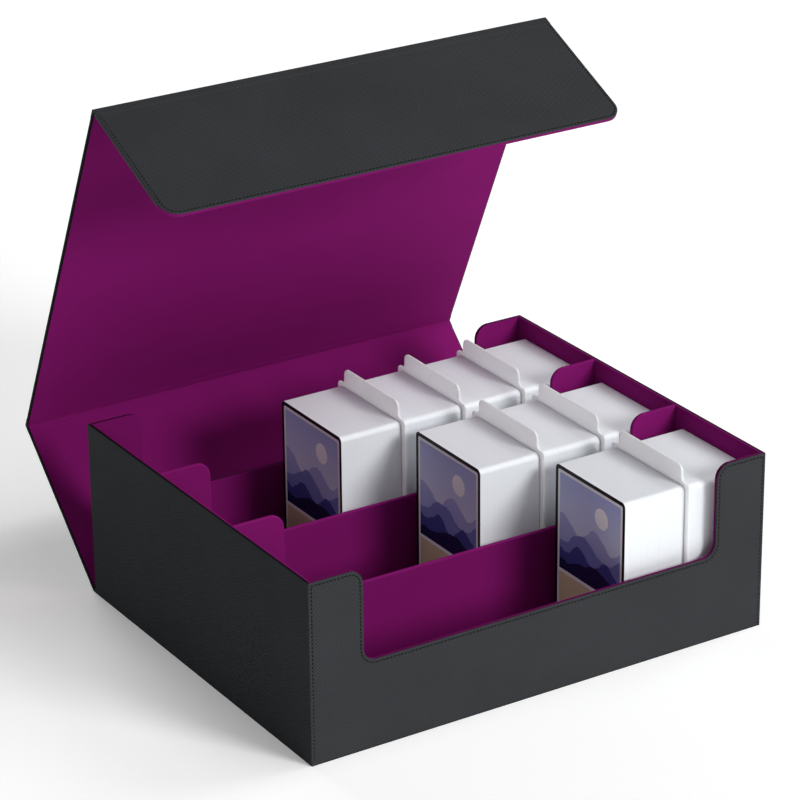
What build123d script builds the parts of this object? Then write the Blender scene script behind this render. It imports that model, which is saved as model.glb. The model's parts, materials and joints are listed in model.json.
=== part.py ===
from build123d import *
import os
from math import sqrt

# Card storage box with three lanes, a folding lid of three panels, loose dividers and stacks of cards.
# Millimetres. Origin at the middle of the base, +X along the front, +Y to the rear, +Z up.

# Sheets that the walls and the lid are laid up from
cover_thickness = 0.5  # leatherette outside
board_thickness = 1.5  # greyboard core
lining_thickness = 0.5  # suede paper inside

# Cards that the lanes are made for
card_width = 63.0
card_height = 88.0
card_thickness = 0.3
card_radius = 3.0

# Lanes
lane_length = 275.5  # inside, along X
lane_play = 5.2  # room on each side of a card
headroom = 11.0  # from the top of the cards to the rim

# Finger dip in the front, rear and lane walls
post_width = 31.5  # wall left standing at each end, from the outside of the box
dip_depth = 52.0
post_radius = 8.0
dip_radius = 7.5
least_radius = 0.3
level_tolerance = 0.02  # for picking corners by their place

# Lid
lid_clearance = 0.8  # between the closed lid and the tray
fold_clearance = 0.35  # between a fold and the panel that turns on it
fold_lift = 0.25  # base fold above the floor
flap_length = 82.5
flap_radius = 10.0
back_angle = 44.0  # back panel above the floor, as it stands open
top_turn = 71.0  # top panel on the back panel
flap_turn = 90.0  # flap on the top panel

# Magnets in the flap and keeper plates in the front posts
magnet_radius = 5.0
magnet_thickness = 1.0
magnet_clearance = 0.1

# Stitching
stitch_inset = 1.7
stitch_pitch = 2.7
stitch_length = 1.8
stitch_width = 0.5
stitch_rise = 0.2

# Stacks of cards and the dividers between them
stack_length = 37.8
end_stack_length = 42.0  # stack against the right end
end_gap = 0.5
stack_gap = 0.3  # between a stack and a divider
divider_thickness = 1.2
divider_play = 1.9  # room on each side of a divider
divider_radius = 2.5
shoulder_rise = 1.7  # shoulder above the cards
shoulder_width = 6.8
tab_radius = 4.0
tab_foot_radius = 3.0
front_stack_count = 2
middle_stack_count = 3
rear_stack_count = 4

# Worked out from the sizes above
lane_stacks = {"front": front_stack_count, "middle": middle_stack_count, "rear": rear_stack_count}
wall_thickness = cover_thickness + board_thickness + lining_thickness
lane_wall_thickness = board_thickness + 2 * lining_thickness
lane_width = card_width + 2 * lane_play
lane_pitch = lane_width + lane_wall_thickness
tray_width = lane_length + 2 * wall_thickness
tray_depth = len(lane_stacks) * lane_pitch - lane_wall_thickness + 2 * wall_thickness
base_top = cover_thickness + board_thickness
floor_top = base_top + lining_thickness
card_top = floor_top + card_height
tray_height = card_top + headroom
half_depth = tray_depth / 2
half_width = tray_width / 2
lane_half = lane_length / 2
board_half = half_width - cover_thickness
end_board_half = half_depth - cover_thickness - board_thickness

parts = {}


def block(x_span, y_span, z_span):
    spans = (x_span, y_span, z_span)
    size = [high - low for low, high in spans]
    corner = [low for low, high in spans]
    return Pos(*corner) * Box(*size, align=(Align.MIN, Align.MIN, Align.MIN))


def at_height(shape, height):
    return shape.vertices().filter_by(lambda corner: abs(corner.Y - height) < level_tolerance)


# Outline of a wall with its finger dip, with its upper edges drawn in by an inset.
def dipped_outline(width_half, bottom, inset):
    rim = tray_height - inset
    dip_floor = tray_height - dip_depth - inset
    dip_half = half_width - post_width + inset
    panel = Pos(0, (bottom + rim) / 2) * Rectangle(2 * width_half, rim - bottom)
    dip = Pos(0, (dip_floor + rim) / 2) * Rectangle(2 * dip_half, rim - dip_floor)
    outline = panel - dip
    outline = fillet(at_height(outline, dip_floor), dip_radius + inset)
    post_middle = (dip_half + width_half) / 2
    post_corners = at_height(outline, rim).filter_by(lambda corner: abs(corner.X) < post_middle)
    return fillet(post_corners, max(post_radius - inset, least_radius))


# Stand an outline up across the box and give it thickness between two places along Y.
def stand(outline, y_low, y_high):
    return extrude(Plane.XZ.offset(-y_high) * outline, amount=y_high - y_low)


# Rows of stitches along some edges, lying on a face that looks the given way.
def stitch_rows(edges, facing):
    stitches = []
    on_its_face = (Align.CENTER, Align.CENTER, Align.MIN)
    for edge in edges:
        count = max(1, round(edge.length / stitch_pitch))
        for index in range(count):
            share = (index + 0.5) / count
            seat = Plane(origin=edge @ share, x_dir=edge % share, z_dir=facing)
            stitches.append(seat * Box(stitch_length, stitch_width, stitch_rise, align=on_its_face))
    return Compound(children=stitches)


# Base. The cover runs on behind the box as a lip, up to the base fold.
fold_radius = wall_thickness / 2
fold_reach = fold_radius + fold_clearance
base_fold_y = half_depth + lid_clearance + fold_radius
base_fold_z = fold_lift + fold_radius
lip_chord = sqrt(max(fold_radius**2 - (base_fold_z - cover_thickness) ** 2, 0))
lip_end = base_fold_y - lip_chord - fold_clearance
parts["base_cover"] = block((-half_width, half_width), (-half_depth, lip_end), (0, cover_thickness))
parts["base_board"] = block(
    (-board_half, board_half),
    (cover_thickness - half_depth, half_depth - cover_thickness),
    (cover_thickness, base_top),
)

# End walls: the cover is turned over the rim, and the lining stops at it.
for side, name in ((-1, "left"), (1, "right")):
    outer = sorted((side * half_width, side * board_half))
    core = sorted((side * board_half, side * (lane_half + lining_thickness)))
    inner = sorted((side * (lane_half + lining_thickness), side * lane_half))
    along = (-end_board_half, end_board_half)
    sheet_along = (cover_thickness - half_depth, half_depth - cover_thickness)
    sheet = block(outer, sheet_along, (cover_thickness, tray_height))
    turned_edge = block(core, along, (tray_height - cover_thickness, tray_height))
    parts[f"{name}_end_cover"] = sheet + turned_edge
    parts[f"{name}_end_board"] = block(core, along, (base_top, tray_height - cover_thickness))
    parts[f"{name}_end_lining"] = block(inner, along, (base_top, tray_height))

# Front wall: the lining is turned over the rim, and keeper plates sit in the posts behind the cover.
front_core = (cover_thickness - half_depth, -end_board_half)
front_inner = (-end_board_half, lining_thickness - end_board_half)
magnet_x = half_width - post_width / 2
magnet_z = tray_height - dip_depth / 2
front_board = stand(dipped_outline(board_half, base_top, lining_thickness), *front_core)
front_edge = stand(dipped_outline(board_half, base_top, 0), *front_core) - front_board
front_sheet = stand(dipped_outline(lane_half, base_top, 0), *front_inner)
parts["front_cover"] = stand(dipped_outline(half_width, cover_thickness, 0), -half_depth, front_core[0])
parts["front_wall_lining"] = front_sheet + front_edge
keepers = []
for side in (-1, 1):
    disc_plane = Plane(origin=(side * magnet_x, front_core[0], magnet_z), z_dir=(0, 1, 0))
    keepers.append(extrude(disc_plane * Circle(magnet_radius), amount=magnet_thickness))
    front_board -= extrude(disc_plane * Circle(magnet_radius + magnet_clearance), amount=magnet_thickness)
parts["front_wall_board"] = front_board
parts["front_keepers"] = Compound(children=keepers)

# Stitching on the front cover, along its sides, posts and dip.
seam = Plane.XZ.offset(half_depth) * dipped_outline(half_width - stitch_inset, cover_thickness, stitch_inset)
seam_edges = seam.edges().filter_by(lambda edge: (edge @ 0.5).Z > 2 * cover_thickness)
parts["front_stitching"] = stitch_rows(seam_edges, (0, -1, 0))

# Rear wall: the cover is turned over the rim.
rear_core = (end_board_half, half_depth - cover_thickness)
rear_inner = (end_board_half - lining_thickness, end_board_half)
rear_board = stand(dipped_outline(board_half, base_top, cover_thickness), *rear_core)
rear_edge = stand(dipped_outline(board_half, base_top, 0), *rear_core) - rear_board
rear_sheet = stand(dipped_outline(half_width, cover_thickness, 0), rear_core[1], half_depth)
parts["rear_wall_board"] = rear_board
parts["rear_cover"] = rear_sheet + rear_edge
parts["rear_wall_lining"] = stand(dipped_outline(lane_half, base_top, 0), *rear_inner)

# Lane walls, each board wrapped in lining on both sides and over its edge.
for side, name in ((-1, "front"), (1, "rear")):
    middle = side * lane_pitch / 2
    board_span = (middle - board_thickness / 2, middle + board_thickness / 2)
    wrap_span = (middle - lane_wall_thickness / 2, middle + lane_wall_thickness / 2)
    board = stand(dipped_outline(lane_half, base_top, lining_thickness), *board_span)
    parts[f"{name}_lane_wall_board"] = board
    parts[f"{name}_lane_wall_lining"] = stand(dipped_outline(lane_half, base_top, 0), *wrap_span) - board

# Lanes: floor lining, stacks from the right end to the left, a divider between each two, and a face card.
divider_half = lane_width / 2 - divider_play
shoulder_top = card_top + shoulder_rise
tab_half = divider_half - shoulder_width
tab_rise = tray_height - shoulder_top
divider_foot_radius = min(tab_foot_radius, tab_rise / 2)
divider_tab_radius = min(tab_radius, tab_rise - divider_foot_radius)


def divider_outline():
    sheet = Pos(0, (floor_top + shoulder_top) / 2) * Rectangle(2 * divider_half, shoulder_top - floor_top)
    tab = Pos(0, (shoulder_top + tray_height) / 2) * Rectangle(2 * tab_half, tab_rise)
    outline = sheet + tab
    outline = fillet(at_height(outline, floor_top), divider_radius)
    shoulder_ends = at_height(outline, shoulder_top).sort_by(Axis.X)
    outline = fillet([shoulder_ends[0], shoulder_ends[-1]], divider_radius)
    beside_tab = lambda corner: abs(abs(corner.X) - tab_half) < level_tolerance
    outline = fillet(at_height(outline, shoulder_top).filter_by(beside_tab), divider_foot_radius)
    return fillet(at_height(outline, tray_height), divider_tab_radius)


card_outline = Pos(0, (floor_top + card_top) / 2) * RectangleRounded(card_width, card_height, card_radius)
divider_shape = divider_outline()


# Give an outline that faces along the lane its thickness, between two places along X.
def across(outline, lane_middle, x_low, x_high):
    return Pos(0, lane_middle, 0) * extrude(Plane.YZ.offset(x_low) * outline, amount=x_high - x_low)


for index, (lane, stacks) in enumerate(lane_stacks.items()):
    lane_middle = (index - (len(lane_stacks) - 1) / 2) * lane_pitch
    lane_span = (lane_middle - lane_width / 2, lane_middle + lane_width / 2)
    parts[f"{lane}_lane_floor_lining"] = block((-lane_half, lane_half), lane_span, (base_top, floor_top))
    right = lane_half - end_gap
    for number in range(1, stacks + 1):
        left = right - (end_stack_length if number == 1 else stack_length)
        parts[f"{lane}_lane_stack_{number}"] = across(card_outline, lane_middle, left, right)
        if number == stacks:
            break
        divider_right = left - stack_gap
        divider_left = divider_right - divider_thickness
        divider = across(divider_shape, lane_middle, divider_left, divider_right)
        parts[f"{lane}_lane_divider_{number}"] = divider
        right = divider_left - stack_gap
    parts[f"{lane}_lane_face_card"] = across(card_outline, lane_middle, left - card_thickness, left)

# Lid panels are laid up flat, from one fold axis along +Y to the next, with the cover underneath.
back_length = tray_height + lid_clearance + fold_radius - base_fold_z
top_length = 2 * base_fold_y
back_place = Pos(0, base_fold_y, base_fold_z) * Rot(back_angle, 0, 0)
top_place = back_place * Pos(0, back_length, 0) * Rot(top_turn, 0, 0)
flap_place = top_place * Pos(0, top_length, 0) * Rot(flap_turn, 0, 0)
core_low = cover_thickness - fold_radius
core_high = core_low + board_thickness
panel_x = (-half_width, half_width)
core_x = (-board_half, board_half)


# A round roll on the fold's axis, with a web that is glued to the end of the next panel's board.
def fold_roll():
    roll = Rot(0, 90, 0) * Cylinder(fold_radius, tray_width)
    return roll + block(core_x, (0, fold_reach), (core_low, core_high))


for name, place, length in (("lid_back", back_place, back_length), ("lid_top", top_place, top_length)):
    along = (fold_reach, length - fold_reach)
    tray_of_cover = block(panel_x, along, (-fold_radius, fold_radius))
    tray_of_cover -= block(core_x, along, (core_low, fold_radius))
    parts[f"{name}_cover"] = place * tray_of_cover
    parts[f"{name}_board"] = place * block(core_x, along, (core_low, core_high))
    parts[f"{name}_lining"] = place * block(core_x, along, (core_high, fold_radius))

parts["base_fold"] = back_place * fold_roll()
parts["rear_fold"] = top_place * fold_roll()
parts["front_fold"] = flap_place * fold_roll()


# The flap's outline, drawn in by an inset at its sides and at its rounded free end.
def flap_outline(inset):
    free_end = flap_length - inset
    flap_half = half_width - inset
    outline = Pos(0, (fold_reach + free_end) / 2) * Rectangle(2 * flap_half, free_end - fold_reach)
    return fillet(at_height(outline, free_end), max(flap_radius - inset, least_radius))


def laid(outline, z_low, z_high):
    return extrude(Plane.XY.offset(z_low) * outline, amount=z_high - z_low)


# Flap: the cover is turned round the sides, and the lining round the free end.
flap_board = laid(flap_outline(cover_thickness), core_low, core_high)
flap_rim = laid(flap_outline(0), core_low, fold_radius)
flap_rim -= laid(flap_outline(cover_thickness), core_low, fold_radius)
side_run = block(panel_x, (fold_reach, flap_length - flap_radius), (-fold_radius, fold_radius))
flap_inside = laid(flap_outline(cover_thickness), core_high, fold_radius)
parts["lid_flap_cover"] = flap_place * (laid(flap_outline(0), -fold_radius, core_low) + (flap_rim & side_run))
parts["lid_flap_lining"] = flap_place * (flap_inside + (flap_rim - side_run))
flap_magnets = []
magnet_reach = tray_height + lid_clearance + fold_radius - magnet_z
for side in (-1, 1):
    disc_plane = Plane(origin=(side * magnet_x, magnet_reach, core_high), z_dir=(0, 0, -1))
    flap_magnets.append(flap_place * extrude(disc_plane * Circle(magnet_radius), amount=magnet_thickness))
    flap_board -= extrude(disc_plane * Circle(magnet_radius + magnet_clearance), amount=magnet_thickness)
parts["lid_flap_board"] = flap_place * flap_board
parts["lid_flap_magnets"] = Compound(children=flap_magnets)

# Stitching on the flap's cover, along its sides and free end.
flap_seam = Plane.XY.offset(-fold_radius) * flap_outline(stitch_inset)
flap_seam_edges = flap_seam.edges().filter_by(lambda edge: (edge @ 0.5).Y > 2 * fold_reach)
parts["lid_flap_stitching"] = flap_place * stitch_rows(flap_seam_edges, (0, 0, -1))

os.makedirs("parts", exist_ok=True)
for name, shape in parts.items():
    export_step(shape, f"parts/{name}.step")
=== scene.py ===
import json
import bpy
import numpy as np
from mathutils import Matrix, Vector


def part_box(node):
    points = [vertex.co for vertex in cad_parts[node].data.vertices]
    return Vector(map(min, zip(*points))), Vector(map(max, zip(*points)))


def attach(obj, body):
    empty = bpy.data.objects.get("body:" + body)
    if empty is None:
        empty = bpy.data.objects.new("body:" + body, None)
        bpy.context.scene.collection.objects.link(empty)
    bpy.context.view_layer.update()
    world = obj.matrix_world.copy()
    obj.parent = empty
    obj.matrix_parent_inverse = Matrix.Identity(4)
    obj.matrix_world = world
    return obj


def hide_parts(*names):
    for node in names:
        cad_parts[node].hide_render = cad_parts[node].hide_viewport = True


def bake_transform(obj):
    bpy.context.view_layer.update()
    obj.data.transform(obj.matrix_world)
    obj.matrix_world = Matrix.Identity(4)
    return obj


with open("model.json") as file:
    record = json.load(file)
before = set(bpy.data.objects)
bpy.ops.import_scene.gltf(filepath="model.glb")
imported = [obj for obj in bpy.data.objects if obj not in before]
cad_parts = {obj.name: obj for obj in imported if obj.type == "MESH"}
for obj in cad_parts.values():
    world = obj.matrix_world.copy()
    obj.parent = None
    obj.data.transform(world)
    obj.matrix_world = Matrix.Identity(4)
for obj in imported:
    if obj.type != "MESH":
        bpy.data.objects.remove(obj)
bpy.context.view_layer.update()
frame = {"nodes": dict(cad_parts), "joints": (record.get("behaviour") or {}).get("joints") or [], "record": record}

nodes = frame["nodes"]
bodyOf = {node: body for body, group in frame["record"]["behaviour"]["bodies"].items() for node in group}
joints = {joint["name"]: joint for joint in frame["joints"]}
mm = 0.001


# materials

def linearColour(hexColour):  # sRGB hex to the linear values that a shader takes
    srgb = np.array([int(hexColour[i:i + 2], 16) for i in (1, 3, 5)]) / 255
    rgb = np.where(srgb <= 0.04045, srgb / 12.92, ((srgb + 0.055) / 1.055) ** 2.4)
    return (*rgb.tolist(), 1.0)


def addNode(tree, kind, inputs={}, **settings):  # inputs holds values, and sockets to link from
    node = tree.nodes.new("ShaderNode" + kind)
    for name, value in settings.items():
        setattr(node, name, value)
    for key, value in inputs.items():
        if isinstance(value, bpy.types.NodeSocket):
            tree.links.new(value, node.inputs[key])
        else:
            node.inputs[key].default_value = value
    return node


def newMaterial(name, constants):  # constants go on the shader's own sockets
    material = bpy.data.materials.new(name)
    material.use_nodes = True
    tree = material.node_tree
    shader = tree.nodes["Principled BSDF"]
    for key, value in constants.items():
        shader.inputs[key].default_value = value
    return material, tree, shader


def finishSurface(tree, shader, look, colour, grain, height=None):
    # Links the colour, a roughness that follows the grain between two values, and a bump from the height,
    # where there is one.
    tree.links.new(colour, shader.inputs["Base Color"])
    smoothest, roughest = look["roughness"]
    gloss = addNode(tree, "MapRange", {"Value": grain, "To Min": smoothest, "To Max": roughest}).outputs[0]
    tree.links.new(gloss, shader.inputs["Roughness"])
    if height is not None:
        bump = addNode(tree, "Bump", {"Strength": look["bump"], "Distance": look["depth"] * mm,
                                      "Height": height})
        tree.links.new(bump.outputs[0], shader.inputs["Normal"])


def perMetre(size):  # how many of this size in mm go into a metre, which is also a noise's scale
    return 1 / (size * mm)


leatherLook = {"rib": "#3B3D40", "shadedValley": "#252729", "ribPitch": 1.2, "crossPitch": 1.75, "crossShare": 0.7,
               "wander": 7.0, "sway": 2.4, "patch": 45, "patchSpan": (0.3, 0.7), "tone": (0.93, 1.07),
               "pore": 0.35, "poreShare": 0.25, "roughness": (0.42, 0.6), "depth": 0.1, "bump": 0.6,
               "shine": 0.09}


def makeLeatherette(name, look):
    # PU leatherette: coated cloth embossed by a hot roller with a fine diagonal twill.
    # The eye sees matt charcoal and a soft shine at the edges. The grooves between the ribs are painted darker
    # than the ribs: painted shade, on top of the bump.
    # The real ribs are 1.1 mm apart both ways; both are drawn coarser, so that they show in the render.
    material, tree, shader = newMaterial(name, {"IOR": 1.5, "Specular IOR Level": look["shine"]})
    grain = addNode(tree, "UVMap", uv_map="grain").outputs["UV"]
    place = addNode(tree, "TexCoord").outputs["Object"]
    wander, patch, pore = (
        addNode(tree, "TexNoise", {"Vector": place, "Scale": perMetre(look[key]), "Detail": fine}).outputs[0]
        for key, fine in (("wander", 2), ("patch", 3), ("pore", 2)))
    ribTurn, crossTurn = (2 * np.pi / (look[key] * mm * np.sqrt(2)) for key in ("ribPitch", "crossPitch"))
    waves = []
    for across in ((ribTurn, ribTurn, 0), (crossTurn, -crossTurn, 0)):  # ribs, then the cuts across them
        phase = addNode(tree, "VectorMath", {0: grain, 1: across}, operation="DOT_PRODUCT").outputs["Value"]
        phase = addNode(tree, "Math", {0: wander, 1: look["sway"], 2: phase},
                        operation="MULTIPLY_ADD").outputs[0]
        waves.append(addNode(tree, "Math", {0: phase}, operation="SINE").outputs[0])
    twill = addNode(tree, "Math", {0: waves[1], 1: look["crossShare"], 2: waves[0]},
                    operation="MULTIPLY_ADD").outputs[0]
    swing = 1 + look["crossShare"]
    weave = addNode(tree, "MapRange", {"Value": twill, "From Min": -swing, "From Max": swing}).outputs[0]
    # the grooves take the darker colour: painted shade in the twill's hollows
    colour = addNode(tree, "Mix", {0: weave, 6: linearColour(look["shadedValley"]), 7: linearColour(look["rib"])},
                     data_type="RGBA").outputs[2]
    (patchLow, patchHigh), (toneLow, toneHigh) = look["patchSpan"], look["tone"]
    tone = addNode(tree, "MapRange", {"Value": patch, "From Min": patchLow, "From Max": patchHigh,
                                      "To Min": toneLow, "To Max": toneHigh}).outputs[0]
    colour = addNode(tree, "VectorMath", {0: colour, "Scale": tone}, operation="SCALE").outputs[0]
    height = addNode(tree, "Math", {0: pore, 1: look["poreShare"], 2: weave},
                     operation="MULTIPLY_ADD").outputs[0]
    finishSurface(tree, shader, look, colour, pore, height)
    return material


liningLook = {"low": "#781261", "high": "#7E1466", "nap": 38, "brush": 0.4, "fibre": 0.5, "fibreShare": 0.35,
              "mottle": (0.45, 0.9), "roughness": (0.82, 0.96), "depth": 0.06, "bump": 0.35, "shine": 0.06}


def makeLining(name, look):
    # Suede paper: short purple flock glued to paper and brushed one way.
    # The eye sees a deep even magenta purple, very matt, with faint brushed patches.
    material, tree, shader = newMaterial(name, {"Specular IOR Level": look["shine"]})
    place = addNode(tree, "TexCoord").outputs["Object"]
    brushed = addNode(tree, "Mapping", {"Vector": place, "Scale": (look["brush"], 1, 1)}).outputs[0]
    nap, fibre = (
        addNode(tree, "TexNoise", {"Vector": vector, "Scale": perMetre(look[key]), "Detail": fine}).outputs[0]
        for vector, key, fine in ((brushed, "nap", 3), (place, "fibre", 2)))
    mottle = addNode(tree, "Math", {0: fibre, 1: look["fibreShare"], 2: nap},
                     operation="MULTIPLY_ADD").outputs[0]
    mottleLow, mottleHigh = look["mottle"]
    share = addNode(tree, "MapRange", {"Value": mottle, "From Min": mottleLow,
                                       "From Max": mottleHigh}).outputs[0]
    colour = addNode(tree, "Mix", {0: share, 6: linearColour(look["low"]), 7: linearColour(look["high"])},
                     data_type="RGBA").outputs[2]
    finishSurface(tree, shader, look, colour, fibre, fibre)
    return material


def makeMottled(name, look, constants={}):
    # Plain surfaces, such as board, sheet plastic and plated steel: two close colours mixed by a fine grain,
    # which also breaks up the gloss and the surface.
    material, tree, shader = newMaterial(name, constants)
    place = addNode(tree, "TexCoord").outputs["Object"]
    grain = addNode(tree, "TexNoise", {"Vector": place, "Scale": perMetre(look["grain"]),
                                       "Detail": 4}).outputs[0]
    colour = addNode(tree, "Mix", {0: grain, 6: linearColour(look["low"]), 7: linearColour(look["high"])},
                     data_type="RGBA").outputs[2]
    finishSurface(tree, shader, look, colour, grain, grain)
    return material


threadLook = {"dark": "#08080A", "light": "#131315", "twist": 0.45, "roughness": (0.45, 0.7), "depth": 0.05,
              "bump": 0.5, "shine": 0.15}


def makeThread(name, look):
    # Polyester sewing thread, plied: the eye sees near black dashes with a slanting twist.
    material, tree, shader = newMaterial(name, {"IOR": 1.5, "Specular IOR Level": look["shine"]})
    grain = addNode(tree, "UVMap", uv_map="grain").outputs["UV"]
    turn = 2 * np.pi / (look["twist"] * mm)
    phase = addNode(tree, "VectorMath", {0: grain, 1: (turn, turn, 0)},
                    operation="DOT_PRODUCT").outputs["Value"]
    wave = addNode(tree, "Math", {0: phase}, operation="SINE").outputs[0]
    ply = addNode(tree, "MapRange", {"Value": wave, "From Min": -1}).outputs[0]
    colour = addNode(tree, "Mix", {0: ply, 6: linearColour(look["dark"]), 7: linearColour(look["light"])},
                     data_type="RGBA").outputs[2]
    finishSurface(tree, shader, look, colour, ply, ply)
    return material


stockLook = {"low": "#EAEEF2", "high": "#EDF1F5", "card": 0.3, "fibre": 0.8, "roughness": (0.55, 0.75),
             "depth": 0.02, "bump": 0.2, "shine": 0.3}


def makeCardStock(name, look):
    # Coated white card, die cut: the eye sees a stack's edges as one soft white block, very faintly layered.
    material, tree, shader = newMaterial(name, {"Specular IOR Level": look["shine"]})
    place = addNode(tree, "TexCoord").outputs["Object"]
    along = addNode(tree, "SeparateXYZ", {0: place}).outputs["X"]
    number = addNode(tree, "Math", {0: along, 1: perMetre(look["card"])}, operation="MULTIPLY").outputs[0]
    whole = addNode(tree, "Math", {0: number}, operation="FLOOR").outputs[0]
    chance = addNode(tree, "TexWhiteNoise", {"W": whole}, noise_dimensions="1D").outputs["Value"]
    colour = addNode(tree, "Mix", {0: chance, 6: linearColour(look["low"]), 7: linearColour(look["high"])},
                     data_type="RGBA").outputs[2]
    fibre = addNode(tree, "TexNoise", {"Vector": place, "Scale": perMetre(look["fibre"]),
                                       "Detail": 3}).outputs[0]
    finishSurface(tree, shader, look, colour, fibre, fibre)
    return material


leatherette = makeLeatherette("PU leatherette, twill embossed", leatherLook)
# the end sheets are cut with the ribs turned; their leatherette is a darker, duller copy, painted shade for the
# ends
shadedEndLook = dict(leatherLook, rib="#2D3033", shadedValley="#1E2022", shine=0.03)
shadedEndLeatherette = makeLeatherette("PU leatherette, twill embossed, painted shade", shadedEndLook)
# PU leatherette turned over the rim and pressed, so the twill is ironed out; it is painted almost black, as
# painted shade along the rims and edges
shadedEdgeFinish = {"low": "#070708", "high": "#0E0E10", "grain": 0.8, "roughness": (0.5, 0.65), "depth": 0.03,
                "bump": 0.3}
shadedEdge = makeMottled("PU leatherette, turned edge, painted shade", shadedEdgeFinish,
                         {"Specular IOR Level": 0.03})
lining = makeLining("suede paper, flocked and brushed", liningLook)
# folded over the rim, where the nap is pressed flat; this darker copy of the lining is painted shade on the rims
shadedRimLining = makeLining("suede paper, flocked, painted rim shade", dict(liningLook, low="#4E0A40", high="#560C46"))
thread = makeThread("polyester thread, plied", threadLook)
cardStock = makeCardStock("white card stock, die cut", stockLook)
# Polypropylene sheet, die cut: milky white with a satin face, and light goes a little way into it
dividerFinish = {"low": "#EFF2F5", "high": "#F5F8FA", "grain": 1.2, "roughness": (0.38, 0.5), "depth": 0.02,
                 "bump": 0.3}
dividerPlastic = makeMottled("white polypropylene, die cut sheet", dividerFinish, {
    "Subsurface Weight": 1.0, "Subsurface Scale": 0.004, "Subsurface Radius": (1.0, 1.0, 1.0)})
# Greyboard: recycled fibre, pressed, brownish grey and dull
boardFinish = {"low": "#6E675D", "high": "#8F877A", "grain": 1.5, "roughness": (0.85, 0.95), "depth": 0.08,
               "bump": 0.3}
greyboard = makeMottled("greyboard, pressed fibre", boardFinish)
# Nickel plated steel: pale grey metal with a satin gloss, for the discs under the lining
steelFinish = {"low": "#A8A9AB", "high": "#BDBEC0", "grain": 0.6, "roughness": (0.28, 0.4), "depth": 0.01,
               "bump": 0.3}
magnetSteel = makeMottled("steel, nickel plated", steelFinish, {"Metallic": 1.0})
print("materials: leatherette, lining, thread, card, plastic, board, steel")


# shapes, in mm

upright = ((1, 0, 0), (0, 0, 1), (0, -1, 0))  # across, up, towards the front
sideways = ((0, 1, 0), (0, 0, 1), (1, 0, 0))  # to the rear, up, towards the right
lying = ((1, 0, 0), (0, 1, 0), (0, 0, 1))
plateLook = {"roundPoints": 5, "seamPoints": 9}  # points over a rounded edge, and across a seam's dent
tucked = 0.02  # rounding of an edge that is hidden against its neighbour
cornerSteps, sharpSteps = 4, 2  # steps along the arc of a small corner, and of one that is nearly sharp


def unit(vectors, least=1e-12):  # vectors brought to length one; one of no length stays as it is
    return vectors / np.maximum(np.linalg.norm(vectors, axis=-1, keepdims=True), least)


def leftOf(ways):  # flat vectors turned a quarter to the left
    return np.stack([-ways[:, 1], ways[:, 0]], 1)


def roundedPath(corners, radii, inset, steps, leastRadius=0.02):
    # Closed outline: each corner of a polygon is drawn in by the inset, and an arc that meets both sides
    # takes its place.
    corner = np.array(corners, float)
    ahead = unit(np.roll(corner, -1, 0) - corner)
    back = np.roll(ahead, 1, 0)
    inward, inwardBack = leftOf(ahead), leftOf(back)
    turn = np.arctan2(np.sum(inwardBack * ahead, 1), np.sum(back * ahead, 1))
    corner = corner + inset * (inward + inwardBack) / (1 + np.sum(inward * inwardBack, 1))[:, None]
    radius = np.maximum(np.broadcast_to(radii, len(corner)) - inset * np.sign(turn), leastRadius)
    bend = (radius * np.sign(turn))[:, None]
    start = corner - back * (radius * np.tan(np.abs(turn) / 2))[:, None]
    centre = start + bend * inwardBack
    angle = np.arctan2(back[:, 1], back[:, 0])[:, None] + turn[:, None] * np.linspace(0, 1, steps + 1)
    arcs = centre[:, None] + bend[:, None] * np.stack([np.sin(angle), -np.cos(angle)], 2)
    return arcs.reshape(-1, 2)


def ringSurface(points, uv, normals):
    # Rings of equal size, each joined to the next all the way round, with the first and the last closed
    # by one face.
    count, size = points.shape[:2]
    index = np.arange(count * size).reshape(count, size)
    beside = np.roll(index, -1, 1)
    quads = np.stack([index[:-1], beside[:-1], beside[1:], index[1:]], 2).reshape(-1, 4)
    return {"points": points.reshape(-1, 3), "quads": quads, "caps": (index[0, ::-1], index[-1]),
            "uv": uv.reshape(-1, 2), "normals": normals.reshape(-1, 3)}


def ringNormals(points):  # square to the run round each ring and to the run from ring to ring
    return unit(np.cross(np.roll(points, -1, -2) - np.roll(points, 1, -2), np.gradient(points, axis=-3)))


def placed(flat, height, basis, origin):  # flat points and their heights, set into a panel's own frame
    axisA, axisB, axisC = np.array(basis, float)
    return np.array(origin) + flat[..., :1] * axisA + flat[..., 1:] * axisB + height[..., None] * axisC


def slab(corners, radii, low, high, basis, origin=(0, 0, 0), *, edges, steps, seam=None, flip=1):
    # Plate: an outline carried from the low depth to the high one, and drawn in along a quarter round
    # at both faces. A seam adds a shallow dent with a bell-shaped section, at its own inset on the high face.
    # A flip of -1 mirrors the grain.
    turn = np.linspace(0, np.pi / 2, plateLook["roundPoints"])
    inset = np.concatenate([edges[0] * (1 - np.sin(turn)), edges[1] * (1 - np.cos(turn))])
    depth = np.concatenate([low + edges[0] * (1 - np.cos(turn)), high - edges[1] * (1 - np.sin(turn))])
    sink = np.zeros(len(inset))
    if seam:
        across = np.linspace(-1, 1, plateLook["seamPoints"])
        inset = np.append(inset, seam["inset"] + across * seam["reach"])
        depth = np.append(depth, np.full(len(across), high))
        sink = np.append(sink, seam["dent"] * (1 - across ** 2) ** 2)
    rings = np.stack([roundedPath(corners, radii, amount, steps) for amount in inset])
    share = seam["share"](rings[-1]) if seam else np.zeros(rings.shape[1])
    points = placed(rings, depth[:, None] - sink[:, None] * share, basis, origin)
    normals = ringNormals(points)
    facing = np.array(basis[2], float)
    normals[0], normals[-1] = -facing, facing
    return ringSurface(points, rings * (1, flip), normals)


def rectangle(xLow, xHigh, yLow, yHigh):  # four corners, anticlockwise from the lower left
    return [(xLow, yLow), (xHigh, yLow), (xHigh, yHigh), (xLow, yHigh)]


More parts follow.
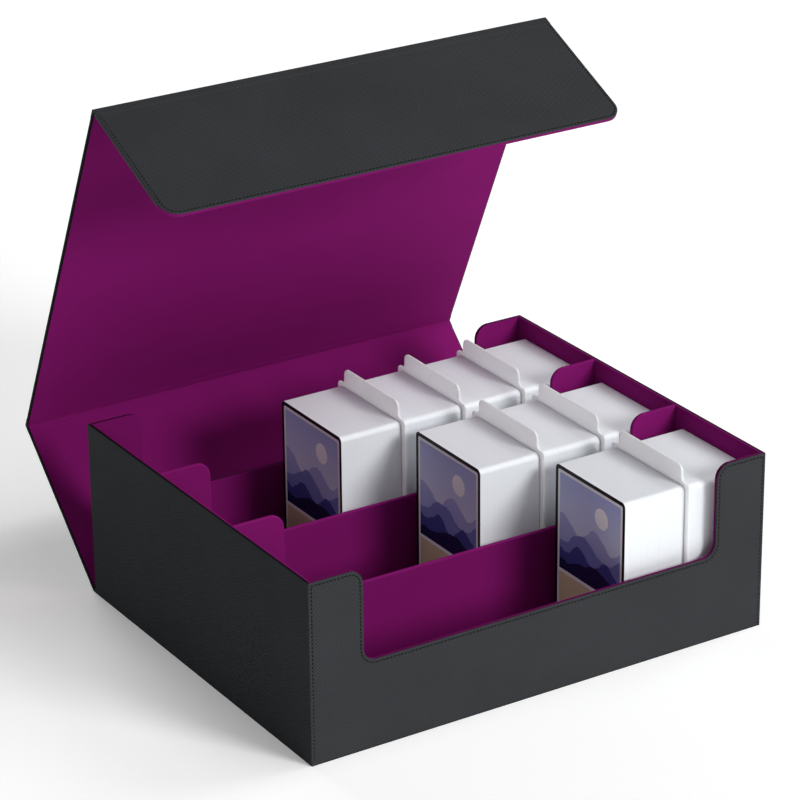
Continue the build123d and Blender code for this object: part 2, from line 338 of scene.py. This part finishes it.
def addPiece(name, parts, material, replaced=(), body=None, bend=None):
    # Parts in mm become one mesh in metres, with the grain map and the rounded normals that came with them.
    points, grain, normals = (np.concatenate([part[key] for part in parts])
                              for key in ("points", "uv", "normals"))
    faces = []
    for part, start in zip(parts, np.cumsum([0] + [len(part["points"]) for part in parts])):
        faces += (part["quads"] + start).tolist() + [(cap + start).tolist() for cap in part["caps"]]
    mesh = bpy.data.meshes.new(name)
    mesh.from_pydata((points * mm).tolist(), [], faces)
    mesh.polygons.foreach_set("use_smooth", np.ones(len(faces), bool))
    corners = np.zeros(len(mesh.loops), int)
    mesh.loops.foreach_get("vertex_index", corners)
    mesh.uv_layers.new(name="grain").data.foreach_set("uv", (grain * mm)[corners].astype(np.float32).ravel())
    if not bend:
        mesh.normals_split_custom_set_from_vertices(normals.tolist())
    mesh.materials.append(material)
    mesh.update()
    piece = bpy.data.objects.new(name, mesh)
    bpy.context.scene.collection.objects.link(piece)
    if bend:
        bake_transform(piece)
    else:
        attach(piece, body or bodyOf[replaced[0]])
    if replaced:
        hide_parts(*replaced)


def span(node, axis):  # a CAD node's extent along an axis, in mm
    low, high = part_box(node)
    return low[axis] / mm, high[axis] / mm


# tray

halfWidth = span("front_cover", 0)[1]
boardHalf = span("base_board", 0)[1]
laneHalf = span("front_lane_floor_lining", 0)[1]
frontFace, frontCore = span("front_cover", 1)
rearFace, rearCore = -frontFace, -frontCore
liningBack, liningFace = span("front_wall_board", 1)[1], span("front_wall_lining", 1)[1]
underside, rim = span("front_cover", 2)
baseTop = span("base_board", 2)[1]
cover = frontCore - frontFace
dip = {"post": 31.5, "depth": 52.0, "postRadius": 8.0, "dipRadius": 7.5, "corner": 0.5}
seamLook = {"inset": 1.75, "reach": 0.9, "dent": 0.16, "fade": 3.0}
wallLook = {"steps": 10, "coverEdge": 0.42, "frontLiningEdge": 0.3, "frontRimEdge": 0.35,
            "rearLiningEdge": 0.25, "rearRimEdge": 0.06, "laneEdge": 0.8, "laneTuck": 0.3}


def dippedWall(halfLength, bottom):  # outline of a wall with its finger dip, from the lower left corner
    dipHalf, dipFloor = halfWidth - dip["post"], rim - dip["depth"]
    corners = [(-halfLength, bottom), (halfLength, bottom), (halfLength, rim), (dipHalf, rim),
               (dipHalf, dipFloor), (-dipHalf, dipFloor), (-dipHalf, rim), (-halfLength, rim)]
    small, post, foot = dip["corner"], dip["postRadius"], dip["dipRadius"]
    return corners, [small, small, small, post, foot, foot, post, small]


def wallSheet(halfLength, bottom, low, high, edges, seam=None):  # one layer of a wall, between two depths
    return slab(*dippedWall(halfLength, bottom), low, high, upright, edges=edges, steps=wallLook["steps"],
                seam=seam)


def aboveBase(ring):  # the seam fades out along the bottom edge
    return np.clip((ring[:, 1] - underside - seamLook["fade"]) / seamLook["fade"], 0, 1)


addPiece("frontCoverPanel",
         [wallSheet(halfWidth, underside, -frontCore, -frontFace, (tucked, wallLook["coverEdge"]),
                    dict(seamLook, share=aboveBase))],
         leatherette, ["front_cover"])
addPiece("frontLining",
         [wallSheet(laneHalf, baseTop, -liningFace, -liningBack, (wallLook["frontLiningEdge"], tucked))],
         lining, ["front_wall_lining"])
# the front rim takes the darker lining: painted shade
addPiece("frontRim",
         [wallSheet(boardHalf, baseTop, -liningBack, -frontCore, (tucked, wallLook["frontRimEdge"]))],
         shadedRimLining, body="tray")
addPiece("rearCoverPanel",
         [wallSheet(halfWidth, underside, -rearFace, -rearCore, (wallLook["coverEdge"], tucked))],
         leatherette, ["rear_cover"])
# the rear rim takes the darker lining: painted shade
addPiece("rearRim",
         [wallSheet(boardHalf, baseTop, -rearCore, liningBack, (tucked, wallLook["rearRimEdge"]))],
         shadedRimLining, body="tray")
addPiece("rearLining",
         [wallSheet(laneHalf, baseTop, liningBack, liningFace, (tucked, wallLook["rearLiningEdge"]))],
         lining, ["rear_wall_lining"])

# the end sheets are cut with the twill turned, and their lining laps onto the rim
endCut = {"grainTurn": 25, "coverCorner": 0.3, "coverEdge": 0.38, "rimCorner": 0.05, "rimEdge": 0.05,
          "liningCorner": 0.2, "liningEdge": 0.2, "lip": 0.5, "lipEdge": 0.1}
grainCos, grainSin = np.cos(np.radians(endCut["grainTurn"])), np.sin(np.radians(endCut["grainTurn"]))
endLayers = (halfWidth, boardHalf, laneHalf + cover + endCut["lip"], laneHalf + cover, laneHalf)  # inwards
for side, name in ((-1, "left"), (1, "right")):
    outer, core, lip, inner = (sorted((side * a, side * b)) for a, b in zip(endLayers, endLayers[1:]))
    sheet = slab(rectangle(frontCore, rearCore, underside, rim), endCut["coverCorner"], *outer, sideways,
                 edges=(endCut["coverEdge"], tucked)[::-side], steps=cornerSteps)
    sheet["uv"] = sheet["uv"] @ [[grainCos, -grainSin], [grainSin, grainCos]]
    # the end covers take the darker leatherette copy: painted shade
    addPiece(name + "EndCover", [sheet], shadedEndLeatherette, [name + "_end_cover"])
    strip = rectangle(liningBack, -liningBack, rim - cover, rim)
    # the turned rim is painted near black: painted shade
    turnedRim = slab(strip, endCut["rimCorner"], *core, sideways, edges=(tucked, endCut["rimEdge"])[::-side],
                     steps=sharpSteps)
    addPiece(name + "EndRim", [turnedRim], shadedEdge, body="tray")
    inside = slab(rectangle(liningBack, -liningBack, baseTop, rim), endCut["liningCorner"], *inner, sideways,
                  edges=(tucked, endCut["liningEdge"])[::-side], steps=cornerSteps)
    lapped = slab(strip, endCut["rimCorner"], *lip, sideways, edges=(endCut["lipEdge"], tucked)[::-side],
                  steps=sharpSteps)
    addPiece(name + "EndLining", [inside, lapped], lining, [name + "_end_lining"])
for name in ("front", "rear"):
    wallLow, wallHigh = span(name + "_lane_wall_lining", 1)
    addPiece(name + "LaneWall",
             [wallSheet(laneHalf + wallLook["laneTuck"], baseTop, -wallHigh, -wallLow,
                        (wallLook["laneEdge"], wallLook["laneEdge"]))],
             lining, [name + "_lane_wall_lining"])
baseLook = {"corner": 0.4, "edges": (0.2, 0.1)}
lipEnd = span("base_cover", 1)[1]
addPiece("baseCover",
         [slab(rectangle(-halfWidth, halfWidth, frontFace, lipEnd), baseLook["corner"],
               *span("base_cover", 2), lying, edges=baseLook["edges"], steps=cornerSteps)],
         leatherette, ["base_cover"])
print("tray: walls, linings and base")


# lid panels, each in its own frame: across the box, away from its fold, and towards the inside

foldNames = ("base_fold_hinge", "rear_fold_hinge", "front_fold_hinge")
foldAt = [np.array(joints[name]["pos_m"]) / mm for name in foldNames]
# each fold lies flat at its upper limit, so that limit is its turn from flat to rest
foldTurn = np.radians([joints[name]["range_deg"][1] for name in foldNames])
panelAngle = np.cumsum(foldTurn)
panelBasis = [((1, 0, 0), (0, np.cos(a), np.sin(a)), (0, -np.sin(a), np.cos(a))) for a in panelAngle]
lidLook = {"half": 1.25, "reach": 1.6, "corner": 0.3, "outerEdge": 0.3, "innerEdge": 0.35, "liningEdge": 0.12,
           "edgeSink": 0.05}
half, reach = lidLook["half"], lidLook["reach"]
edgeTop = half - lidLook["edgeSink"]  # the turned edge stays a little under the lining's face
for index, name in enumerate(("back", "top")):
    length = np.linalg.norm(foldAt[index + 1] - foldAt[index])
    plane = dict(basis=panelBasis[index], origin=foldAt[index], steps=cornerSteps)
    outline = rectangle(-halfWidth, halfWidth, reach, length - reach)
    inside = rectangle(-boardHalf, boardHalf, reach, length - reach)
    addPiece("lid" + name.title() + "Cover",
             [slab(outline, lidLook["corner"], -half, cover - half, **plane,
                   edges=(lidLook["outerEdge"], tucked))],
             leatherette, ["lid_" + name + "_cover"])
    # the turned edge round the lining, painted near black: painted shade
    addPiece("lid" + name.title() + "Edge",
             [slab(outline, lidLook["corner"], cover - half, edgeTop, **plane,
                   edges=(tucked, lidLook["innerEdge"]))],
             shadedEdge, body="lid_" + name)
    addPiece("lid" + name.title() + "Lining",
             [slab(inside, lidLook["corner"], half - cover, half, **plane,
                   edges=(tucked, lidLook["liningEdge"]))],
             lining, ["lid_" + name + "_lining"])

flapLook = {"length": 82.5, "radius": 10.0, "steps": 12, "coverEdge": 0.4, "liningEdge": 0.3, "sharp": 0.1,
            "sideEdge": 0.15}
flapLength, flapRadius, sharp = (flapLook[key] for key in ("length", "radius", "sharp"))
acrossFlap, alongFlap, insideFlap = np.array(panelBasis[2])
outward = (acrossFlap, -alongFlap, -insideFlap)  # same plane, seen from the outside
straight = flapLength - flapRadius
flapRadii = (flapRadius, flapRadius, lidLook["corner"], lidLook["corner"])


def pastFold(ring):  # the flap's seam fades out towards its fold
    return np.clip((-ring[:, 1] - reach - seamLook["fade"]) / seamLook["fade"], 0, 1)


flapSheet = slab(rectangle(-halfWidth, halfWidth, -flapLength, -reach), flapRadii, half - cover, half,
                 outward, foldAt[2], edges=(tucked, flapLook["coverEdge"]), steps=flapLook["steps"],
                 seam=dict(seamLook, share=pastFold), flip=-1)
flapSides = [slab(rectangle(*sorted((side * boardHalf, side * halfWidth)), reach, straight), sharp,
                  cover - half, edgeTop, panelBasis[2], foldAt[2], edges=(tucked, flapLook["sideEdge"]),
                  steps=sharpSteps) for side in (-1, 1)]
addPiece("flapCover", [flapSheet] + flapSides, leatherette, ["lid_flap_cover"])
# inside, the lining is as wide as the board, and turns out over the free edge to the full width
flapInside = [(-boardHalf, reach), (boardHalf, reach), (boardHalf, straight), (halfWidth, straight),
              (halfWidth, flapLength), (-halfWidth, flapLength), (-halfWidth, straight),
              (-boardHalf, straight)]
addPiece("flapLining",
         [slab(flapInside, (sharp, sharp, sharp, sharp, flapRadius, flapRadius, sharp, sharp), cover - half,
               half, panelBasis[2], foldAt[2], edges=(tucked, flapLook["liningEdge"]),
               steps=flapLook["steps"])],
         lining, ["lid_flap_lining"])
print("lid: back, top and flap")


# folds: a leatherette band outside and a lining band inside, laid across each hinge

foldLook = {"tail": 5.0, "lap": 0.4, "proud": 0.02, "hidden": 0.1, "points": 15, "nearCrease": (0.25, 0.1),
            "endRing": 0.15}
tailShare = np.array([1.0, 0.94, 0.8, 0.6])  # points along a tail, from its end
# how far each lies under the band's own face: the ends dive into the panel
tailSink = np.array([0.25, 0.02, 0.0, 0.0])


def polar(angle, radius):  # point in the plane across the fold, as (y, z)
    return np.stack([radius * np.cos(angle), radius * np.sin(angle)], -1)


def bandPiece(name, section, at, spans, material, bodies, start, end, replaced=()):
    # Band: one section carried straight across each span of x, with a second ring close to each end.
    run = np.append(0, np.cumsum(np.linalg.norm(np.diff(section, axis=0), axis=1)))
    parts = []
    for low, high in spans:
        x, index = np.meshgrid([low, low + foldLook["endRing"], high - foldLook["endRing"], high],
                               np.arange(len(section)), indexing="ij")
        points = np.concatenate([x[..., None], (section + at[1:])[index]], 2)
        parts.append(ringSurface(points, np.stack([x, run[index]], 2), np.zeros_like(points)))
    ends = [(0, *((point + at[1:]) * mm)) for point in (start, end)]
    addPiece(name, parts, material, replaced, bend=(*bodies, *ends))


lidBodies = ("tray", "lid_back", "lid_top", "lid_flap")
hidden = foldLook["hidden"]  # the bands' far faces, near the middle of the panels
face = half + foldLook["proud"]
wide = halfWidth - foldLook["proud"]
level = (face - tailSink)[:, None]
foldClosed = np.radians([np.ptp(joints[name]["range_deg"]) for name in foldNames])  # from flat to closed
for index, name in enumerate(("base", "rear", "front")):
    before, after = panelAngle[index] - foldTurn[index], panelAngle[index]
    bodies = lidBodies[index:index + 2]
    alongBefore, alongAfter = polar(before, 1.0), polar(after, 1.0)
    upBefore, upAfter = polar(before + np.pi / 2, 1.0), polar(after + np.pi / 2, 1.0)
    # the base fold's first tail is short, and laps onto the end of the base cover
    tails = [foldLook["tail"] if index else foldAt[0][1] - lipEnd + foldLook["lap"], foldLook["tail"]]
    runBefore, runAfter = (tail * tailShare[:, None] for tail in tails)
    # outside: tail, arc about the hinge, tail, and back along the hidden face
    sweep = np.linspace(before, after, foldLook["points"]) - np.pi / 2
    arc, core = polar(sweep, face), polar(sweep[[0, len(sweep) // 2, -1]], hidden)
    section = np.concatenate([-level * upBefore - runBefore * alongBefore, arc,
                              (-level * upAfter + runAfter * alongAfter)[::-1],
                              core[-1:] + runAfter[1] * alongAfter, core[::-1],
                              core[:1] - runBefore[1] * alongBefore])
    bandPiece(name + "FoldCover", section, foldAt[index], [(-wide, wide)], leatherette, bodies,
              arc[0], arc[-1], [name + "_fold"])
    if index == 0:
        continue
    # inside: the lining lies flat on both panels and meets in a crease, and leatherette turns in at both ends,
    # painted near black as painted shade
    halfTurn = foldTurn[index] / 2
    near = face * np.tan(foldClosed[index] / 2) + np.array(foldLook["nearCrease"])[:, None]
    crease = polar(before + halfTurn + np.pi / 2, face / np.cos(halfTurn))[None]
    onBefore = np.concatenate([level * upBefore - runBefore * alongBefore,
                               face * upBefore - near * alongBefore])
    onAfter = np.concatenate([level * upAfter + runAfter * alongAfter, face * upAfter + near * alongAfter])
    below = [hidden * upBefore - runBefore[1] * alongBefore, hidden * upBefore - reach * alongBefore,
             polar(before + halfTurn + np.pi / 2, hidden), hidden * upAfter + reach * alongAfter,
             hidden * upAfter + runAfter[1] * alongAfter]
    section = np.concatenate([below, onAfter, crease, onBefore[::-1]])
    bandPiece(name + "FoldLining", section, foldAt[index], [(-boardHalf, boardHalf)], lining,
              bodies, onBefore[-2], onAfter[-2])
    bandPiece(name + "FoldEdge", section, foldAt[index], [(-wide, -boardHalf), (boardHalf, wide)], shadedEdge,
              bodies, onBefore[-2], onAfter[-2])
print("folds: bands across", len(foldNames), "hinges")


# stitching

# wider than life, so that the dashes show in the render
# the outline runs out past the edge that has no stitches, and those near that edge are left off
stitchLook = {"pitch": 2.15, "length": 1.35, "width": 0.85, "rise": 0.14, "sunk": 0.28, "slant": 4.0,
              "blunt": 0.08, "sides": 6, "arcSteps": 24, "aim": 0.3, "runOut": 4.0, "clear": 1.5}


def stitchRow(corners, radii, basis, origin, surface, keep):
    # Thread: a small spindle of round section, laid along the outline at each pitch and a little aslant.
    path = roundedPath(corners, radii, seamLook["inset"], stitchLook["arcSteps"])
    path = np.concatenate([path, path[:1]])
    run = np.append(0, np.cumsum(np.linalg.norm(np.diff(path, axis=0), axis=1)))
    count = round(run[-1] / stitchLook["pitch"])
    at = (np.arange(count) + 0.5) * run[-1] / count
    spot, ahead, behind = (np.stack([np.interp(at + step, run, path[:, i]) for i in (0, 1)], 1)
                           for step in (0, stitchLook["aim"], -stitchLook["aim"]))
    kept = keep(spot)
    spot, way = spot[kept], unit(ahead - behind)[kept]
    slant = np.radians(stitchLook["slant"])
    way = way * np.cos(slant) + leftOf(way) * np.sin(slant)
    share = np.array([-1, -0.9, -0.6, 0, 0.6, 0.9, 1])  # rings along the spindle
    girth = np.sqrt(np.maximum(1 - np.abs(share) ** 4, stitchLook["blunt"]))[:, None]
    around = np.linspace(0, 2 * np.pi, stitchLook["sides"], endpoint=False)
    along = share * stitchLook["length"] / 2
    sideStep = girth * np.cos(around) * stitchLook["width"] / 2
    rise, sunk = stitchLook["rise"], stitchLook["sunk"]
    lift = (rise - sunk) / 2 + girth * np.sin(around) * (rise + sunk) / 2
    flat = (spot[:, None, None] + along[None, :, None, None] * way[:, None, None]
            + sideStep[None, :, :, None] * leftOf(way)[:, None, None])
    points = placed(flat, np.broadcast_to(surface + lift, flat.shape[:3]), basis, origin)
    uv = np.stack(np.broadcast_arrays(along[:, None], around * stitchLook["width"] / 2), 2)
    return [ringSurface(rings, uv, normals) for rings, normals in zip(points, ringNormals(points))]


frontRow = stitchRow(*dippedWall(halfWidth, underside - stitchLook["runOut"]), upright, (0, 0, 0), -frontFace,
                     lambda spot: spot[:, 1] > underside + stitchLook["clear"])
addPiece("frontStitching", frontRow, thread, ["front_stitching"])
flapRow = stitchRow(rectangle(-halfWidth, halfWidth, -flapLength, stitchLook["runOut"]), flapRadii, outward,
                    foldAt[2], half, lambda spot: spot[:, 1] < -reach - stitchLook["clear"])
addPiece("flapStitching", flapRow, thread, ["lid_flap_stitching"])
print("stitching:", len(frontRow), "and", len(flapRow), "stitches")


# stacks of cards, dividers and face cards

cardLook = {"thick": 0.3, "radius": 3.0, "arcSteps": 9, "slack": 0.03, "shift": 0.012, "groove": 0.02,
            "grooveShare": 0.15, "seed": 11}
chance = np.random.default_rng(cardLook["seed"])


def cardStack(node):
    # Cards one behind another: each card's rounded outline is carried over its thickness, between two
    # shallow grooves.
    (xLow, xHigh), (yLow, yHigh), (zLow, zHigh) = (span(node, axis) for axis in range(3))
    count = round((xHigh - xLow) / cardLook["thick"])
    thick = (xHigh - xLow) / count
    outline, inner = (roundedPath(rectangle(yLow, yHigh, zLow, zHigh), cardLook["radius"],
                                  cardLook["slack"] + groove, cardLook["arcSteps"])
                      for groove in (0, cardLook["groove"]))
    shift = chance.uniform(-cardLook["shift"], cardLook["shift"], (count, 1, 1, 2))
    rings = np.stack([inner, outline, outline, inner])[None] + shift
    share = cardLook["grooveShare"]
    place = xLow + thick * (np.arange(count)[:, None] + np.array([0, share, 1 - share, 1]))
    place = np.broadcast_to(place[..., None, None], rings.shape[:3] + (1,))
    points = np.concatenate([place, rings], 3).reshape(-1, len(outline), 3)
    normals = ringNormals(points)
    normals[0], normals[-1] = (-1, 0, 0), (1, 0, 0)
    return ringSurface(points, points[..., 1:], normals)


dividerLook = {"shoulder": 9.3, "tabSide": 6.8, "corner": 2.5, "tab": 4.0, "foot": 3.0, "edge": 0.3,
               "arcSteps": 10}


def dividerSheet(node):  # a card-shaped sheet with a wide raised tab
    xSpan, (yLow, yHigh), (zLow, zHigh) = (span(node, axis) for axis in range(3))
    shoulder = zHigh - dividerLook["shoulder"]
    tabLow, tabHigh = yLow + dividerLook["tabSide"], yHigh - dividerLook["tabSide"]
    corners = [(yLow, zLow), (yHigh, zLow), (yHigh, shoulder), (tabHigh, shoulder),
               (tabHigh, zHigh), (tabLow, zHigh), (tabLow, shoulder), (yLow, shoulder)]
    corner, foot, tab, edge = (dividerLook[key] for key in ("corner", "foot", "tab", "edge"))
    return slab(corners, (corner, corner, corner, foot, tab, tab, foot, corner), *xSpan, sideways,
                edges=(edge, edge), steps=dividerLook["arcSteps"])


stackNodes = sorted(node for node in nodes if "_lane_stack_" in node)
dividerNodes = sorted(node for node in nodes if "_lane_divider_" in node)
faceNodes = sorted(node for node in nodes if node.endswith("_face_card"))
for node in stackNodes:
    addPiece(node.replace("_lane_stack_", "CardStack"), [cardStack(node)], cardStock, [node])
for node in dividerNodes:
    addPiece(node.replace("_lane_divider_", "Divider"), [dividerSheet(node)], dividerPlastic,
             [node])
print("contents:", len(stackNodes), "stacks,", len(dividerNodes), "dividers")

# hills are (ink, height, swing, radians for each mm across, radians at the middle)
cardFace = {"border": 2.3, "frame": 1.7, "corner": 2.0, "panelTop": 26.0, "band": 2.0, "moonAt": (10.5, 71.0),
            "moon": 6.0, "gemAt": (0.0, 15.0), "gem": 4.0, "skySpan": (84.0, 45.0), "crag": 6.0,
            "cragSize": 9, "turnedAway": -0.5,
            "edge": "#E9EAEC", "ink": "#060609", "pale": "#F1F2F4", "sky": ("#AEB6E6", "#E2E6F8"),
            "moonlight": "#FBFBFF", "panel": ("#CDBF98", "#DCD0AE"), "mark": "#9B8B62",
            "hills": (("#AAAFDF", 57.0, 4.0, 0.21, 0.6), ("#7A82C2", 50.0, 4.5, 0.16, 2.4),
                      ("#42488F", 42.5, 3.5, 0.25, 4.0), ("#1A1D48", 36.5, 3.0, 0.12, 1.1)),
            "roughness": (0.38, 0.5), "shine": 0.2}


def makeCardFace(name, look):
    # Coated card, offset printed: black border, pale frame, a view of ridges under a moon, and a sand panel.
    # The eye sees flat clean inks under a thin satin varnish.
    material, tree, shader = newMaterial(name, {"Specular IOR Level": look["shine"]})
    texture = addNode(tree, "TexCoord")
    place = texture.outputs["Object"]
    (yLow, yHigh), (zLow, zHigh) = (span(faceNodes[1], axis) for axis in (1, 2))
    lane = span(faceNodes[2], 1)[0] - yLow  # the lanes repeat at this pitch, and the middle one is at zero
    beyond = 900  # past any card, so that only the lanes repeat
    # in mm on the card, seen from the left end, where its right side is towards the front
    card = addNode(tree, "VectorMath", {0: place, 1: (0, -1 / mm, 1 / mm), 2: (0, 0, -zLow)},
                   operation="MULTIPLY_ADD").outputs[0]
    most = np.array([beyond, lane / 2, beyond])
    card = addNode(tree, "VectorMath", {0: card, 1: most.tolist(), 2: (-most).tolist()},
                   operation="WRAP").outputs[0]
    spot = addNode(tree, "SeparateXYZ", {0: card}).outputs
    halfCard = (0, (yHigh - yLow) / 2, (zHigh - zLow) / 2)
    fromMiddle = addNode(tree, "VectorMath", {0: card, 1: (0, 0, halfCard[2])},
                         operation="SUBTRACT").outputs[0]
    fromMiddle = addNode(tree, "VectorMath", {0: fromMiddle}, operation="ABSOLUTE").outputs[0]
    gaps = addNode(tree, "VectorMath", {0: halfCard, 1: fromMiddle}, operation="SUBTRACT").outputs[0]
    gaps = addNode(tree, "SeparateXYZ", {0: gaps}).outputs
    margin = addNode(tree, "Math", {0: gaps["Y"], 1: gaps["Z"], 2: look["corner"]},
                     operation="SMOOTH_MIN").outputs[0]
    fromMoon = addNode(tree, "VectorMath", {0: card, 1: (0, *look["moonAt"])},
                       operation="DISTANCE").outputs["Value"]
    fromGem = addNode(tree, "VectorMath", {0: card, 1: (0, *look["gemAt"])}, operation="SUBTRACT").outputs[0]
    fromGem = addNode(tree, "VectorMath", {0: fromGem}, operation="ABSOLUTE").outputs[0]
    fromGem = addNode(tree, "VectorMath", {0: fromGem, 1: (0, 1, 1)},
                      operation="DOT_PRODUCT").outputs["Value"]
    rough = addNode(tree, "TexNoise", {"Vector": place, "Scale": perMetre(look["cragSize"]),
                                       "Detail": 4}).outputs[0]
    skyTop, skyFoot = look["skySpan"]
    height = addNode(tree, "MapRange", {"Value": spot["Z"], "From Min": skyTop,
                                        "From Max": skyFoot}).outputs[0]
    mixes = []  # the sky's two tones by height, and the panel's by its paper grain
    for share, tones in ((height, look["sky"]), (rough, look["panel"])):
        low, high = (linearColour(tone) for tone in tones)
        mixes.append(addNode(tree, "Mix", {0: share, 6: low, 7: high}, data_type="RGBA").outputs[2])
    colour, paper = mixes
    layers = [(fromMoon, "LESS_THAN", look["moon"], linearColour(look["moonlight"]))]
    for hill, hillTop, swing, pitch, phase in look["hills"]:
        wave = addNode(tree, "Math", {0: spot["Y"], 1: pitch, 2: phase}, operation="MULTIPLY_ADD").outputs[0]
        wave = addNode(tree, "Math", {0: wave}, operation="SINE").outputs[0]
        crags = addNode(tree, "Math", {0: rough, 1: look["crag"], 2: hillTop - look["crag"] / 2},
                        operation="MULTIPLY_ADD").outputs[0]
        ridge = addNode(tree, "Math", {0: wave, 1: swing, 2: crags}, operation="MULTIPLY_ADD").outputs[0]
        layers.append((spot["Z"], "LESS_THAN", ridge, linearColour(hill)))
    facing = addNode(tree, "SeparateXYZ", {0: texture.outputs["Normal"]}).outputs["X"]
    layers += [(spot["Z"], "LESS_THAN", look["panelTop"] + look["band"], linearColour(look["pale"])),
               (spot["Z"], "LESS_THAN", look["panelTop"], paper),
               (fromGem, "LESS_THAN", look["gem"], linearColour(look["mark"])),
               (margin, "LESS_THAN", look["border"] + look["frame"], linearColour(look["pale"])),
               (margin, "LESS_THAN", look["border"], linearColour(look["ink"])),
               # the cut edges and the back stay white
               (facing, "GREATER_THAN", look["turnedAway"], linearColour(look["edge"]))]
    for value, test, limit, ink in layers:
        mask = addNode(tree, "Math", {0: value, 1: limit}, operation=test).outputs[0]
        colour = addNode(tree, "Mix", {0: mask, 6: colour, 7: ink}, data_type="RGBA").outputs[2]
    finishSurface(tree, shader, look, colour, rough)
    return material


printedCard = makeCardFace("coated card, offset printed", cardFace)
slotMaterials = {"leatherette": leatherette, "suede_lining": lining, "greyboard": greyboard, "thread": thread,
                 "magnet_steel": magnetSteel, "divider_plastic": dividerPlastic, "card_stock": cardStock,
                 "printed_card": printedCard}
for entry in frame["record"]["subparts"]:
    mesh = nodes[entry["node"]].data
    mesh.materials.clear()
    mesh.materials.append(slotMaterials[entry["material_slot"]])
print("cards: faces printed, remaining nodes painted")


# floor, light and camera

# Painted board: even matt white, with a faint glow that lifts its shadows
floorFinish = {"low": "#F8F8F8", "high": "#FBFBFB", "grain": 300, "roughness": (0.8, 0.9), "depth": 0.01,
               "bump": 0.3}
floorLook = {"size": 14.0, "shine": 0.1, "glow": 0.19, "glowColour": "#FFFFFF"}
floorSide = floorLook["size"] / 2
floorMesh = bpy.data.meshes.new("floor")
floorMesh.from_pydata([(x, y, 0) for x, y in rectangle(-floorSide, floorSide, -floorSide, floorSide)], [],
                      [(0, 1, 2, 3)])
floorMesh.materials.append(makeMottled("matt white board, painted", floorFinish, {
    "Specular IOR Level": floorLook["shine"], "Emission Strength": floorLook["glow"],
    "Emission Color": linearColour(floorLook["glowColour"])}))
floor = bpy.data.objects.new("floor", floorMesh)
bpy.context.scene.collection.objects.link(floor)

worldLook = {"colour": "#FFFFFF", "strength": 0.03}
world = bpy.data.worlds.new("studio")
world.use_nodes = True
world.node_tree.nodes["Background"].inputs["Color"].default_value = linearColour(worldLook["colour"])
world.node_tree.nodes["Background"].inputs["Strength"].default_value = worldLook["strength"]
bpy.context.scene.world = world
bpy.context.scene.view_settings.view_transform = "Standard"


def setUp(name, data, at, axes):  # a lamp or the camera, at a place in metres, with its own x, y and z axes
    thing = bpy.data.objects.new(name, data)
    thing.matrix_world = Matrix.Translation(at) @ Matrix(np.stack(axes, 1).tolist()).to_4x4()
    bpy.context.scene.collection.objects.link(thing)
    return thing


# softboxes, as (degrees from the front towards the right, degrees up, metres away, metres across, watts)
lamps = {"front": (22, 25, 3.0, 1.0, 56.0), "left": (-70, 32, 3.0, 1.2, 12.0),
         "overhead": (25, 66, 3.0, 1.6, 22.0), "right": (84, 42, 3.0, 1.6, 28.0),
         "rear": (178, 22, 3.0, 1.2, 36.0)}
lampAim = np.array([0.0, 0.0, 0.1])
straightUp = np.array([0.0, 0.0, 1.0])
for name, (azimuth, elevation, away, size, power) in lamps.items():
    light = bpy.data.lights.new(name, "AREA")
    light.shape, light.size, light.energy = "DISK", size, power
    azimuth, elevation = np.radians([azimuth, elevation])
    flatWay = np.array([np.sin(azimuth), -np.cos(azimuth), 0.0])
    back = flatWay * np.cos(elevation) + straightUp * np.sin(elevation)
    across = unit(np.cross(straightUp, back))
    setUp(name, light, lampAim + away * back, [across, np.cross(back, across), back])

cameraLook = {"at": (-917.9, -1438.5, 869.3), "aim": (-14.06, 0.0, 127.0), "roll": -0.543, "lens": 158.53,
              "sensor": 36.0}
cameraData = bpy.data.cameras.new("camera")
cameraData.lens, cameraData.sensor_width = cameraLook["lens"], cameraLook["sensor"]
cameraAt, cameraAim = (np.array(cameraLook[key]) * mm for key in ("at", "aim"))
ahead = unit(cameraAim - cameraAt)
right = unit(np.cross(ahead, straightUp))
up = np.cross(right, ahead)
roll = np.radians(cameraLook["roll"])
right, up = np.cos(roll) * right + np.sin(roll) * up, np.cos(roll) * up - np.sin(roll) * right
bpy.context.scene.camera = setUp("camera", cameraData, cameraAt, [right, up, -ahead])
print("floor, light and camera")
